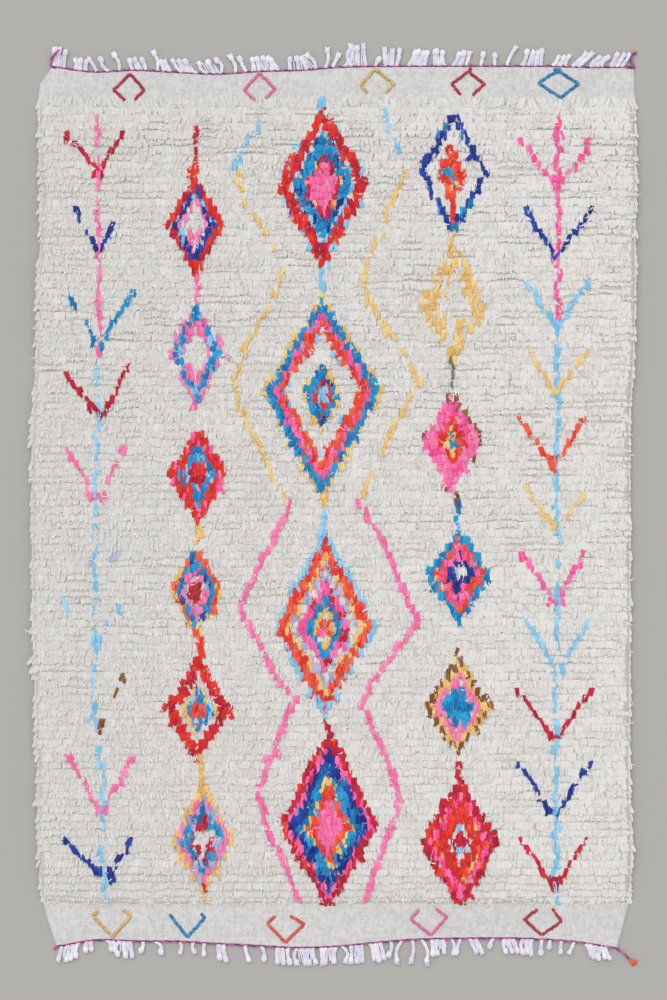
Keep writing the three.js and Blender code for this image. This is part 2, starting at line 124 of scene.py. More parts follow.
def add_piece(name, points, faces, material, attributes=None, smooth=True):
    """A mesh from points and from face arrays, each array with its own count of corners."""
    mesh = bpy.data.meshes.new(name)
    points = np.maximum(np.asarray(points, np.float32), [-np.inf, -np.inf, 0])
    faces = [np.asarray(f, np.int32) for f in faces if len(f)]
    totals = np.concatenate([np.full(len(f), f.shape[1], np.int32) for f in faces])
    mesh.vertices.add(len(points))
    mesh.vertices.foreach_set("co", points.ravel())
    mesh.loops.add(int(totals.sum()))
    mesh.loops.foreach_set("vertex_index", np.concatenate([f.ravel() for f in faces]))
    mesh.polygons.add(len(totals))
    mesh.polygons.foreach_set("loop_start", np.concatenate([[0], np.cumsum(totals)[:-1]]).astype(np.int32))
    mesh.polygons.foreach_set("loop_total", totals)
    mesh.polygons.foreach_set("use_smooth", np.full(len(totals), smooth))
    for key, values in (attributes or {}).items():
        layer = mesh.attributes.new(key, "FLOAT", "POINT")
        layer.data.foreach_set("value", np.asarray(values, np.float32))
    mesh.update(calc_edges=True)
    mesh.validate()
    mesh.materials.append(material)
    piece = bpy.data.objects.new(name, mesh)
    bpy.context.scene.collection.objects.link(piece)
    return piece


class Finish:
    """A fibre material, with helpers for the nodes that colour it and give it relief."""

    def __init__(self, name, roughness, sheen):
        self.material = bpy.data.materials.new(name)
        self.material.use_nodes = True
        self.tree = self.material.node_tree
        self.base = self.tree.nodes["Principled BSDF"]
        self.base.inputs["Roughness"].default_value = roughness
        self.base.inputs["Specular IOR Level"].default_value = FIBRE_GLOSS
        self.base.inputs["Sheen Weight"].default_value = sheen
        self.base.inputs["Sheen Roughness"].default_value = SHEEN_SPREAD
        self.place = self.add("ShaderNodeTexCoord").outputs["Object"]

    def put(self, value, socket):
        if isinstance(value, bpy.types.NodeSocket):
            self.tree.links.new(value, socket)
        else:
            socket.default_value = value

    def add(self, kind, **inputs):
        node = self.tree.nodes.new(kind)
        for key, value in inputs.items():
            self.put(value, node.inputs[key.replace("_", " ")])
        return node

    def mix(self, share, first, second):
        node = self.tree.nodes.new("ShaderNodeMix")
        node.data_type = "RGBA"
        for index, value in ((0, share), (6, first), (7, second)):
            self.put(value, node.inputs[index])
        return node.outputs[2]

    def stretched(self, scale, turn=(0, 0, 0)):
        """The place on the piece, with patterns drawn out along one axis."""
        return self.add("ShaderNodeMapping", Vector=self.place, Scale=scale, Rotation=turn).outputs["Vector"]

    def noise(self, place, scale, detail):
        return self.add("ShaderNodeTexNoise", Vector=place, Scale=scale, Detail=detail).outputs["Fac"]

    def ramp(self, value, low, high, top=1.0, bottom=0.0):
        ends = {"From_Min": low, "From_Max": high, "To_Min": bottom, "To_Max": top}
        return self.add("ShaderNodeMapRange", Value=value, **ends).outputs["Result"]

    def mark(self, key):
        """A value that each point of the mesh carries."""
        node = self.tree.nodes.new("ShaderNodeAttribute")
        node.attribute_name = key
        return node.outputs["Fac"]

    def dye(self, tint):
        self.tree.links.new(tint, self.base.inputs["Base Color"])

    def relief(self, height, strength, depth):
        bump = self.add("ShaderNodeBump", Height=height, Strength=strength, Distance=depth)
        self.tree.links.new(bump.outputs["Normal"], self.base.inputs["Normal"])


def weave_finish():
    """Undyed weave: bands along the wefts, streaks along the warps, and dust in blotches and specks."""
    finish = Finish("undyed_weave", 0.92, 0.15)
    along_wefts = finish.stretched((1, 6, 1))
    bands = finish.noise(along_wefts, 5.0, 3.0)
    specks = finish.noise(along_wefts, 160.0, 2.0)
    streaks = finish.noise(finish.stretched((1, 0.14, 1)), 230.0, 2.0)
    blotches = finish.noise(finish.place, 75.0, 4.0)
    grime = colour(WEAVE_GRIME)
    tint = finish.mix(bands, colour(UNDYED_WEAVE[0]), colour(UNDYED_WEAVE[1]))
    tint = finish.mix(finish.ramp(streaks, 0.45, 0.75, 0.2), tint, grime)
    tint = finish.mix(finish.ramp(blotches, 0.4, 0.65, 0.2), tint, grime)
    finish.dye(finish.mix(finish.ramp(specks, 0.55, 0.75, 0.4), tint, grime))
    beads = finish.add("ShaderNodeTexVoronoi", Vector=finish.stretched((1, 1.6, 1)), Scale=230.0)
    finish.relief(beads.outputs["Distance"], 0.7, 0.0016)
    return finish.material


bottom_ribs = round((PILE_START - BOTTOM_EDGE[:, 1].mean()) / WEFT_PITCH)
top_ribs = round((TOP_EDGE[:, 1].mean() - PILE_END) / WEFT_PITCH)


def weave_lines():
    """Lines across the cloth as (band, share or height, relief), from the bottom end up."""
    lines = [("bottom", 1 - i / (2 * bottom_ribs), WEFT_RELIEF * (i % 2)) for i in range(2 * bottom_ribs)]
    lines += [("pile", y, 0.0) for y in np.linspace(PILE_START, PILE_END, HIDDEN_LINES)]
    return lines + [("top", (i + 1) / (2 * top_ribs), WEFT_RELIEF * (i % 2)) for i in range(2 * top_ribs)]


def weave_grid():
    shares = np.linspace(0, 1, WEAVE_COLUMNS + 1)
    rows = []
    for band, at, relief in weave_lines():
        inner, reach = PILE_START, BOTTOM_EDGE[:, 1].min()
        if band == "top":
            inner, reach = PILE_END, TOP_EDGE[:, 1].max()
        y = at if band == "pile" else inner + (reach - inner) * at
        x = left_at(y) + (right_at(y) - left_at(y)) * shares
        if band == "pile":
            line = np.full_like(x, y)
        else:
            end = top_at(x) if band == "top" else bottom_at(x)
            line = inner + (end - inner) * at
            line = line + WEFT_WANDER * (soft_noise(x, line, 0.06, 0.02, 3) - 0.5) * (at < 0.98)
        uneven = 0.6 + 0.8 * soft_noise(x, line, 0.012, 0.0034, 4)
        rows.append(np.stack([x, line, WEAVE_THICKNESS + relief * uneven], axis=-1))
    return np.array(rows)


def grid_quads(rows, columns):
    """Quads over a grid of points kept row by row."""
    r, c = np.mgrid[0 : rows - 1, 0 : columns - 1]
    a = (r * columns + c).ravel()
    return np.stack([a, a + 1, a + columns + 1, a + columns], axis=-1)


def grid_rim(rows, columns):
    """The points round the rim of such a grid, in order."""
    index = np.arange(rows * columns).reshape(rows, columns)
    return np.concatenate([index[0, :-1], index[:-1, -1], index[-1, :0:-1], index[:0:-1, 0]])


def wall_quads(upper, lower):
    """Quads down from one ring of points to another."""
    return np.stack([lower, np.roll(lower, -1), np.roll(upper, -1), upper], axis=-1)


def unit(ways):
    """The same directions at length 1, or at none where they have none."""
    return ways / (np.linalg.norm(ways, axis=-1, keepdims=True) + 1e-9)


def beside(ways):
    """The level directions at right angles to the given ones, at length 1."""
    return unit(np.stack([-ways[..., 1], ways[..., 0], 0 * ways[..., 0]], axis=-1))


grid = weave_grid()
grid_rows, grid_columns = grid.shape[:2]
surface = grid.reshape(-1, 3)
rim = grid_rim(grid_rows, grid_columns)
ring = surface[rim]
middle = ring + beside(np.roll(ring, 1, axis=0) - np.roll(ring, -1, axis=0)) * RIM_BULGE
middle[:, 2] = WEAVE_THICKNESS / 2
floor_ring = ring * [1, 1, 0]
middle_ring = len(surface) + np.arange(len(rim))
low_ring = middle_ring + len(rim)
cloth = add_piece(
    "woven_cloth",
    np.concatenate([surface, middle, floor_ring]),
    [
        grid_quads(grid_rows, grid_columns),
        wall_quads(rim, middle_ring),
        wall_quads(middle_ring, low_ring),
        low_ring[None, ::-1],
    ],
    weave_finish(),
)
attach(cloth, "root")
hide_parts("rug")

# Knotting chart
# The pattern of the pile as the knotter reads it, on squares of 2.75 mm counted from the top left corner.
# Each diamond is listed by its centre line, top, widest and bottom rows and half width, then by its rings
# from the outside in: their width, their yarn and the yarn of any flecks. REST fills what is left.
SQUARE = 0.00275
CHART_CENTRE = (332.5, 508.0)
PILE_ROWS = 107
ROW_PITCH = (PILE_END - PILE_START) / PILE_ROWS
KNOT_WIDTH = 0.0047
SELVEDGE_CLEAR = 0.003
TUFT_SHIFT = 2.6
KNOT_SHIFT = 0.3
LINE_TRIM = 1.0
LINE_SLOPE = 0.9
BRANCH_HALF = 2.2
BRANCH_TIP = (6, 4)
FLECK_FROM = 0.75
REST = 99
YARNS = ["ivory", "crimson", "red", "coral", "hot_pink", "pink", "navy", "blue", "sky", "yellow", "brown",
         "grey", "lavender", "straw"]

# Branches: left end, tip and right end, then the yarn and the share of their knots that show.
BRANCHES = [
    ((67, 132), (99, 173), (124, 130), "crimson", 1), ((75, 205), (97, 252), (125, 205), "navy", 0.85),
    ((68, 292), (99, 347), (132, 291), "blue", 0.8), ((63, 370), (101, 417), (128, 365), "crimson", 1),
    ((67, 449), (96, 500), (125, 449), "pink", 0.7), ((68, 540), (96, 569), (118, 553), "lavender", 0.45),
    ((60, 596), (94, 646), (125, 594), "sky", 0.45), ((58, 682), (96, 731), (125, 672), "brown", 0.35),
    ((67, 755), (102, 812), (132, 758), "pink", 0.95), ((65, 841), (106, 879), (131, 838), "navy", 0.95),
    ((520, 139), (559, 187), (591, 140), "hot_pink", 1), ((524, 207), (557, 257), (592, 207), "navy", 1),
    ((525, 281), (558, 326), (589, 280), "sky", 0.95), ((526, 347), (557, 393), (589, 347), "straw", 0.85),
    ((518, 417), (554, 466), (586, 415), "coral", 1), ((524, 484), (556, 532), (586, 489), "straw", 0.9),
    ((520, 551), (555, 602), (587, 550), "hot_pink", 1), ((526, 620), (558, 673), (587, 623), "sky", 0.9),
    ((519, 691), (554, 740), (590, 691), "crimson", 1), ((516, 762), (555, 815), (590, 764), "navy", 1),
    ((521, 839), (555, 886), (587, 837), "crimson", 1),
]

# Stems: both ends, the yarn, half their width and the share of their knots that show.
STEMS = [
    ((98, 122), (99, 355), "pink", 2.6, 0.8), ((98, 360), (95, 500), "sky", 2.3, 0.75),
    ((95, 500), (94, 700), "sky", 2.2, 0.7), ((94, 700), (103, 775), "sky", 2.4, 0.85),
    ((103, 775), (102, 850), "sky", 2.3, 0.8), ((102, 850), (107, 902), "sky", 2.4, 0.9),
    ((558, 119), (558, 327), "hot_pink", 2.8, 0.95), ((558, 330), (555, 902), "sky", 2.4, 0.9),
    ((196, 124), (196, 152), "crimson", 2.4, 1), ((196, 155), (196, 178), "red", 3.4, 1),
    ((197, 272), (197, 305), "pink", 2.8, 1), ((198, 407), (198, 429), "pink", 2.0, 0.6),
    ((197, 524), (197, 545), "yellow", 2.6, 1), ((200, 638), (200, 663), "red", 2.8, 1),
    ((201, 758), (202, 788), "yellow", 3.0, 1), ((203, 888), (204, 903), "yellow", 2.4, 1),
    ((320, 96), (321, 112), "sky", 2.6, 1), ((321, 266), (321, 287), "sky", 2.8, 1),
    ((321, 288), (321, 296), "yellow", 3.4, 1), ((324, 495), (324, 510), "yellow", 3.0, 1),
    ((324, 510), (325, 539), "sky", 3.0, 1), ((453, 229), (453, 246), "yellow", 3.0, 1),
    ((452, 360), (453, 392), "grey", 1.5, 0.9), ((455, 493), (456, 504), "brown", 3.0, 1),
    ((457, 503), (457, 534), "blue", 3.0, 0.95), ((459, 618), (459, 629), "blue", 2.8, 1),
    ((459, 630), (458, 662), "brown", 1.8, 0.7), ((458, 746), (458, 755), "brown", 3.0, 1),
    ((458, 759), (458, 778), "crimson", 3.0, 1), ((323, 714), (326, 736), "crimson", 2.4, 1),
    ((330, 896), (330, 912), "crimson", 2.4, 1), ((452, 196), (452, 222), "red", 3.6, 1),
    ((196, 305), (196, 317), "blue", 4.5, 1), ((194, 550), (194, 562), "blue", 4.0, 1),
    ((203, 880), (203, 891), "crimson", 3.5, 1),
]
DIAMONDS = [
    (195, 176, 224, 273, 28, [(5.5, "red", "crimson"), (6.5, "navy", "sky"), (4.5, "pink", "ivory"),
        (REST, "ivory")]),
    (196, 302, 350, 408, 28, [(2.5, "pink", "ivory"), (6, "blue", "sky"), (5.5, "pink", "ivory"),
        (REST, "ivory")]),
    (198, 428, 474, 522, 29, [(10, "red", "hot_pink"), (6.5, "blue", "sky"), (2, "ivory", "lavender"),
        (REST, "crimson", "red")]),
    (196, 548, 590, 637, 27, [(5, "coral", "yellow"), (5, "blue", "navy"), (5.5, "pink", "lavender"),
        (4, "ivory"), (REST, "crimson", "brown")]),
    (198, 657, 710, 760, 32, [(9, "red", "crimson"), (6.5, "ivory"), (2.5, "yellow", "blue"),
        (5.5, "blue", "sky"), (REST, "coral", "crimson")]),
    (203, 784, 839, 894, 32, [(4, "yellow", "ivory"), (4.5, "pink", "lavender"), (8, "blue", "lavender"),
        (6, "crimson", "ivory"), (REST, "ivory")]),
    (323, 103, 184, 271, 48, [(2, "ivory", "sky"), (11, "red", "crimson"), (4, "ivory", "sky"),
        (9, "blue", "navy"), (2.5, "blue", "yellow"), (4, "crimson", "coral"),
        (REST, "hot_pink", "pink")]),
    (322, 295, 391, 499, 60, [(2, "yellow", "ivory"), (7, "blue"), (5.5, "hot_pink", "coral"),
        (6, "coral", "red"), (2.5, "ivory", "sky"), (REST, "ivory")]),
    (321, 364, 394, 431, 20, [(1.5, "yellow", "ivory"), (7, "blue", "navy"), (5.5, "red", "crimson"),
        (REST, "sky", "coral")]),
    (325, 532, 627, 714, 52, [(3, "sky", "ivory"), (9, "coral", "red"), (3.5, "yellow", "coral"),
        (9, "ivory", "lavender"), (8, "hot_pink", "crimson"), (6, "blue"), (4.5, "yellow", "ivory"),
        (2, "ivory", "yellow"), (REST, "coral", "hot_pink")]),
    (329, 727, 826, 909, 48, [(5, "crimson", "red"), (4, "hot_pink", "crimson"), (7.5, "navy", "blue"),
        (7.5, "blue", "navy"), (2.5, "yellow", "blue"), (6.5, "coral", "red"),
        (REST, "pink", "hot_pink")]),
    (453, 113, 173, 233, 35, [(4.5, "navy", "blue"), (REST, "ivory")]),
    (451, 149, 174, 200, 13, [(6, "coral", "red"), (2.5, "yellow", "coral"), (REST, "blue")]),
    (453, 243, 302, 361, 34, [(4.5, "yellow", "ivory"), (3.5, "ivory", "straw"), (5, "yellow", "ivory"),
        (3, "ivory"), (3, "ivory", "yellow"), (REST, "ivory")]),
    (452, 391, 441, 496, 31, [(2, "ivory", "brown"), (7, "pink", "hot_pink"), (7, "hot_pink", "pink"),
        (6, "red", "coral"), (4, "yellow", "coral"), (REST, "blue")]),
    (459, 530, 573, 622, 32, [(6, "blue"), (3, "coral", "yellow"), (8.5, "hot_pink", "coral"),
        (6, "navy"), (REST, "ivory", "lavender")]),
    (458, 657, 707, 752, 33, [(4, "brown", "yellow"), (4.5, "yellow"), (6, "pink"),
        (2.5, "ivory", "pink"), (REST, "blue")]),
    (460, 778, 842, 910, 39, [(6.5, "crimson", "red"), (6, "hot_pink", "coral"), (3.5, "red", "yellow"),
        (9.5, "red", "coral"), (5, "ivory", "sky"), (REST, "crimson", "sky")]),
]

# Waves: the yarn, half their width, the share of their knots that show and the points that they turn at.
WAVES = [
    ("sky", 2.2, 0.75, [(257, 125), (243, 150), (233, 167)]),
    ("straw", 2.2, 0.72, [(235, 171), (245, 202), (267, 234), (284, 268), (269, 305), (247, 344), (233, 385),
        (247, 422), (265, 459), (282, 496)]),
    ("pink", 2.9, 1, [(292, 500), (274, 537), (257, 572), (240, 605), (264, 650), (282, 685), (295, 698),
        (280, 731), (265, 772), (258, 796), (269, 831), (286, 866), (300, 909)]),
    ("sky", 2.4, 0.9, [(385, 112), (399, 150)]),
    ("straw", 2.3, 0.85, [(407, 166), (390, 206), (371, 253), (362, 285), (388, 330), (407, 360), (418, 382),
        (394, 425), (373, 472), (360, 498)]),
    ("pink", 2.9, 1, [(358, 501), (382, 537), (393, 567), (417, 618), (397, 651), (369, 686), (362, 703),
        (380, 744), (396, 785), (399, 809), (380, 852), (363, 906)]),
]


def tie_knots():
    """The row, place and chart square of every knot, row by row from selvedge to selvedge."""
    rows, places = [], []
    for row in range(PILE_ROWS):
        y = PILE_START + (row + 0.5) * ROW_PITCH
        left, right = left_at(y) + SELVEDGE_CLEAR, right_at(y) - SELVEDGE_CLEAR
        knots = round((right - left) / KNOT_WIDTH)
        rows.append(np.full(knots, row))
        places.append(left + (np.arange(knots) + 0.5) * (right - left) / knots)
    return np.concatenate(rows), np.concatenate(places)


knot_row, knot_x = tie_knots()
knot_y = PILE_START + (knot_row + 0.5) * ROW_PITCH
tuft_shift = soft_noise(knot_x, knot_y, 0.014, ROW_PITCH, 19) - 0.5
chart_x = knot_x / SQUARE + CHART_CENTRE[0] + TUFT_SHIFT * tuft_shift
chart_x = chart_x + rng.normal(0, KNOT_SHIFT, len(knot_x))
chart_y = CHART_CENTRE[1] - knot_y / SQUARE
yarn = np.zeros(len(knot_x), int)
slant = np.zeros(len(knot_x))


def evenly_spread(noise):
    """The same bumps, with values that fill 0 to 1 evenly."""
    return np.argsort(np.argsort(noise)) / len(noise)


missed = evenly_spread(soft_noise(knot_x, knot_y, 0.012, ROW_PITCH, 20))
fleck = evenly_spread(soft_noise(knot_x, knot_y, 0.0095, 0.6 * ROW_PITCH, 18))


def tie(where, name, way=0.0):
    """Ties a yarn into the knots that a shape covers, combed along the way that the shape runs."""
    yarn[where] = YARNS.index(name)
    slant[where] = way


def tie_line(start, end, name, half, share):
    """A line of knots that falls from start to end."""
    t = (chart_y - start[1]) / (end[1] - start[1])
    centre = start[0] + (end[0] - start[0]) * np.clip(t, 0, 1)
    way = (end[0] - start[0]) / (end[1] - start[1])
    half = half - LINE_TRIM + LINE_SLOPE * abs(way)
    tie((np.abs(chart_x - centre) < half) & (t >= -0.02) & (t <= 1.02) & (missed < share), name, way)


def tie_diamond(x, top, wide, bottom, half, rings):
    """Rings of knots inside a diamond, some of them flecks of a second yarn."""
    rise = np.where(chart_y < wide, (wide - chart_y) / (wide - top), (chart_y - wide) / (bottom - wide))
    inset = half * (1 - rise) - np.abs(chart_x - x)
    start = -1.0
    for width, name, *flecks in rings:
        ring_knots = (inset >= start) & (inset < max(start, 0) + width)
        tie(ring_knots, name)
        for second in flecks:
            tie(ring_knots & (fleck > FLECK_FROM), second)
        start = max(start, 0) + width


for left, tip, right, name, share in BRANCHES:
    tie_line(left, tip, name, BRANCH_HALF, share)
    tie_line(right, tip, name, BRANCH_HALF, share)
    wide, high = BRANCH_TIP
    at_tip = (np.abs(chart_x - tip[0]) < wide) & (np.abs(chart_y - tip[1] + high) < high)
    tie(at_tip & (missed < share), name)
for name, half, share, points in WAVES:
    for start, end in zip(points, points[1:]):
        tie_line(start, end, name, half, share)
for diamond in DIAMONDS:
    tie_diamond(*diamond)
for start, end, name, half, share in STEMS:
    tie_line(start, end, name, half, share)

# Knotted pile
# Hand-spun wool, tied round the warps in rows with ground wefts between them, then cut long. The ends of
# each knot lie down over the row below, and the rows part here and there so that the roots show, painted
# dark as shade and dust.
LOCK_REACH = 0.034
LOCK_WIDTH = 0.0088
LOCK_HEIGHT = 0.0021
PILE_HEIGHT = 0.0185
ROOT_BACK = 0.003
COMBED = 0.5
COMBED_FROM = 0.55
EDGE_BAND = 0.02
EDGE_DROP = 0.45
END_ROWS = 4
END_DROP = 0.6
PARTING_DEPTH = 0.005
DYED_LIFT = 0.0013
DYED_FULLNESS = 1.5
CALM_ENDS = (-1.0, -0.2)
BODY_COLUMNS = 80
BODY_LINES = (0.0, 0.42, 0.7)
BODY_HEIGHT = 0.0166
BODY_DIP = 0.009
BODY_INSET = 0.006
PIECE_LOCKS = 11500
WISPS = 15000
DYED_WISPS = 2.6
WISP_LENGTH = 0.019
WISP_WIDTH = 0.0034
# Each wool's light and dark colour. The locks take tones between them, partly the wool's own uneven tone and
# partly painted shade between the tufts.
WOOL_COLOURS = {
    "ivory": ("e6e4e2", "d5d3d0"),
    "crimson": ("e02c4a", "ac1c36"),
    "red": ("fa4638", "d22828"),
    "coral": ("ff7656", "e64030"),
    "hot_pink": ("ff88c0", "f6509c"),
    "pink": ("fc9ac4", "f06ea8"),
    "navy": ("3052ba", "1a2c80"),
    "blue": ("30b0e6", "1272b2"),
    "sky": ("a8daf6", "76c2ea"),
    "yellow": ("f6d88c", "e2b464"),
    "brown": ("a06a40", "7a4828"),
    "grey": ("8d8a85", "64615c"),
    "lavender": ("c3c4e2", "a3a8cf"),
    "straw": ("f0d898", "e4bc6c"),
}
# Brownish grey painted at the roots of the locks: painted shade where the rows part, with some dust.
ROOT_SHADE_AND_DUST_COLOUR = "84776a"


def wool_finish(name, light, dark):
    """Wool of one dye: uneven along the rows, a tone in each lock that is partly its own and partly painted
    shade, and darker at the roots as painted shade and dust.
    """
    finish = Finish(name + "_wool", 0.88, 0.35)
    abrash = finish.noise(finish.stretched((0.7, 5, 1)), 4.0, 4.0)
    per_lock = finish.mix(finish.mark("tone"), colour(light), colour(dark))
    tint = finish.mix(finish.ramp(abrash, 0.3, 0.7), per_lock, finish.mix(0.3, per_lock, colour(dark)))
    # Painted shadow and dust: the roots of the locks are mixed towards the root colour.
    shadow = finish.ramp(finish.mark("root"), 0.02, 0.26, 0.0, 0.8)
    finish.dye(finish.mix(shadow, tint, colour(ROOT_SHADE_AND_DUST_COLOUR)))
    finish.relief(finish.noise(finish.stretched((1, 0.25, 1)), 420.0, 3.0), 0.6, 0.002)
    return finish.material


def lock_mesh(path, width, height):
    """Three-sided locks of wool, each through its stations to a pointed tip, as points and faces."""
    locks, stations = path.shape[:2]
    way = np.gradient(path, axis=1)
    across = beside(way)
    across[:, 0] = across[:, 1]
    up = unit(np.cross(way, -across))
    body, lean, rise = path[:, :-1], across[:, :-1] * width[..., None] / 2, up[:, :-1] * height[..., None]
    sides = [body - lean - 0.35 * rise, body + lean - 0.35 * rise, body + 0.65 * rise]
    rings = np.stack(sides, axis=2).reshape(locks, -1, 3)
    points = np.concatenate([rings, path[:, -1:]], axis=1)
    each = points.shape[1]
    quads = []
    for s in range(stations - 2):
        for k in range(3):
            a, b = 3 * s + k, 3 * s + (k + 1) % 3
            quads.append([b, a, a + 3, b + 3])
    last = 3 * (stations - 2)
    ends = [[0, 1, 2]] + [[last + (k + 1) % 3, last + k, each - 1] for k in range(3)]
    start = (np.arange(locks) * each)[:, None, None]
    quads = (start + np.array(quads)).reshape(-1, 4)
    triangles = (start + np.array(ends)).reshape(-1, 3)
    return points.reshape(-1, 3), quads, triangles


def wander_at(x, y):
    """How far a row strays from its straight line."""
    return 0.006 * (soft_noise(x, y, 0.2, 0.06, 7) - 0.5) + 0.006 * (soft_noise(x, y, 0.035, 0.05, 16) - 0.5)


def parting_at(x, y):
    """How far a row stands open, from 0 to 1, widest at the left edge below the middle."""
    opening = np.clip((soft_noise(x, y, 0.07, ROW_PITCH, 9) - 0.62) / 0.12, 0, 1)
    calm = np.interp(y, [-1.1, -0.5, 0.3], [0.3, 0.6, 1.0])
    calm = calm + 0.7 * np.exp(-(((x + 0.68) / 0.14) ** 2) - ((y + 0.36) / 0.16) ** 2)
    return opening * calm * (0.3 + 0.7 * soft_noise(x, y, 0.3, 0.2, 10))


# Each knot gives one lock. These lines settle where its root is, how it is combed and how far it reaches.
lock_count = len(knot_x)
dyed = yarn > 0
lock_x = knot_x + rng.normal(0, 0.0007, lock_count)
row_top = PILE_START + knot_row * ROW_PITCH
wander = wander_at(lock_x, row_top)
parting = parting_at(lock_x, row_top)
comb = 0.6 * (soft_noise(lock_x, row_top, 0.026, 0.019, 11) - 0.5) + rng.normal(0, 0.09, lock_count)
comb = comb * (1 + 0.9 * np.clip((row_top - 0.85) / 0.15, 0, 1))
comb = comb + dyed * 0.6 * (soft_noise(lock_x, row_top, 0.012, ROW_PITCH, 24) - 0.5)
comb = comb * (1 - 0.4 * np.abs(slant)) + COMBED * slant
to_left = np.clip(1 - (lock_x - left_at(row_top)) / EDGE_BAND, 0, 1)
to_right = np.clip(1 - (right_at(row_top) - lock_x) / EDGE_BAND, 0, 1)
ragged = soft_noise(lock_x, row_top, 0.4, 0.034, 14) ** 2
comb = comb * (1 - 0.8 * np.maximum(to_left, to_right))
comb = comb - to_left * (0.12 + 0.65 * ragged + rng.normal(0, 0.12, lock_count))
comb = comb + to_right * (0.12 + 0.3 * ragged + rng.normal(0, 0.08, lock_count))
tuft = soft_noise(lock_x, row_top, 0.016, 0.0205, 13) - 0.5
uneven = (0.24 * tuft + rng.normal(0, 0.07, lock_count)) * (1 - 0.7 * parting)
uneven = uneven * np.interp(row_top, CALM_ENDS, [0.7, 1.0])
reach = LOCK_REACH * (1 + uneven) * (1 - 0.3 * parting) * (1 + dyed * rng.normal(0.08, 0.06, lock_count))
hills = 0.0035 * (soft_noise(lock_x, row_top, 0.12, 0.07, 12) - 0.5)
lift = PILE_HEIGHT + hills + rng.normal(0, 0.0006, lock_count)
to_end = np.clip(1 - np.minimum(knot_row, PILE_ROWS - 1 - knot_row) / END_ROWS, 0, 1)
lift = (lift + DYED_LIFT * dyed) * (1 - EDGE_DROP * np.maximum(to_left, to_right)) * (1 - END_DROP * to_end)
root_y = row_top + LOCK_REACH - ROOT_BACK + wander
top_row = knot_row == PILE_ROWS - 1
root_y[top_row] += rng.uniform(-0.014, 0.006, top_row.sum())

# Each lock's path rises from its root, lies down over the row below and dips at its tip.
SHARES = np.array([0.0, 0.3, 0.86, 1.0])
RISES = np.array([0.2, 0.93, 0.98, 0.91])
path = np.empty((lock_count, len(SHARES), 3))
path[..., 0] = lock_x[:, None] + (comb * reach)[:, None] * SHARES**1.4
path[..., 0] -= (COMBED_FROM * COMBED * slant * reach)[:, None]
path[..., 1] = root_y[:, None] - reach[:, None] * SHARES
path[..., 2] = lift[:, None] * RISES - (PARTING_DEPTH * parting)[:, None] * np.array([0, 1, 0.1, 0])
path[:, 1:, 2] += rng.normal(0, 0.0005, (lock_count, 3)) * (1 + dyed[:, None])
path[knot_row == 0, 2:, 2] *= [0.75, 0.3]
path[top_row, 0, 2] = WEAVE_THICKNESS
width = LOCK_WIDTH * (1 + rng.normal(0, 0.12, (lock_count, 1))) * np.array([0.7, 1.0, 1.05])
height = LOCK_HEIGHT * (1 + rng.normal(0, 0.1, (lock_count, 1))) * np.array([0.7, 1.0, 0.95])
height *= np.interp(row_top, CALM_ENDS, [0.68, 1.0])[:, None]
height[dyed] *= DYED_FULLNESS
width[dyed] *= [1.0, 1.0, 0.85]
# Each lock's tone, from its light towards its dark colour: partly the wool's own uneven tone, partly painted
# shade between the tufts. Ivory locks are also made darker towards the left side and lighter towards the
# right.
tone = 0.5 + 1.2 * (soft_noise(lock_x, row_top, 0.02, 0.018, 17) - 0.5) + rng.normal(0, 0.22, lock_count)
tone = tone + 0.5 * top_row - 0.45 * (lock_x / 0.8) * (1 - dyed)
tone = np.clip(tone, 0, 1)


def pile_body():
    """The felted mass of wool that the locks spring from, sunk along the partings, as a closed slab."""
    shares = np.linspace(0, 1, BODY_COLUMNS + 1)
    lines = []
    for row in range(PILE_ROWS):
        near_end = np.clip(1 - min(row, PILE_ROWS - 1 - row) / END_ROWS, 0, 1)
        for at in BODY_LINES:
            y = PILE_START + (row + at) * ROW_PITCH + 0.004
            x = left_at(y) + BODY_INSET + (right_at(y) - left_at(y) - 2 * BODY_INSET) * shares
            open_here = parting_at(x, PILE_START + row * ROW_PITCH + 0 * x) * (at == BODY_LINES[1])
            z = (BODY_HEIGHT - BODY_DIP * open_here) * (1 - END_DROP * near_end)
            z = z + 0.0012 * (soft_noise(x, y + 0 * x, 0.01, 0.007, 15) - 0.5)
            lines.append(np.stack([x, y + wander_at(x, y - 0.013 + 0 * x), z], axis=-1))
    top = np.array(lines)
    rows, columns = top.shape[:2]
    rim = grid_rim(rows, columns)
    top = top.reshape(-1, 3)
    low = top[rim]
    low[:, 2] = WEAVE_THICKNESS + 0.0012
    low_ring = len(top) + np.arange(len(rim))
    faces = [grid_quads(rows, columns), wall_quads(rim, low_ring), low_ring[None, ::-1]]
    return np.concatenate([top, low]), faces


for number, name in enumerate(YARNS):
    own = np.flatnonzero(yarn == number)
    material = wool_finish(name, *WOOL_COLOURS[name])
    if name == "ivory":
        body_points, body_faces = pile_body()
        # The body takes the dark ivory and some of the root colour: painted shade and dust where it shows
        # between the locks.
        marks = {"tone": np.full(len(body_points), 0.8), "root": np.full(len(body_points), 0.2)}
        body = add_piece("pile_body", body_points, body_faces, material, marks)
        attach(body, "root")
    parts = np.array_split(own, math.ceil(len(own) / PIECE_LOCKS))
    for part, chosen in enumerate(parts):
        points, quads, triangles = lock_mesh(path[chosen], width[chosen], height[chosen])
        each = len(points) // len(chosen)
        along = np.concatenate([np.repeat(SHARES[:-1], 3), SHARES[-1:]])
        shown = np.repeat(top_row[chosen], each)
        # Each lock is made lighter near its root and darker towards its tip: painted shade, deepest where
        # the tips lie over the row below.
        tone_and_tip_shade = np.repeat(tone[chosen], each) + 0.5 * (np.tile(along, len(chosen)) - 0.45)
        marks = {"tone": np.clip(tone_and_tip_shade, 0, 1), "root": np.maximum(np.tile(along, len(chosen)), shown)}
        label = f"pile_{name}" + (f"_{part + 1}" if len(parts) > 1 else "")
        piece = add_piece(label, points, [quads, triangles], material, marks, smooth=False)
        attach(piece, "root")

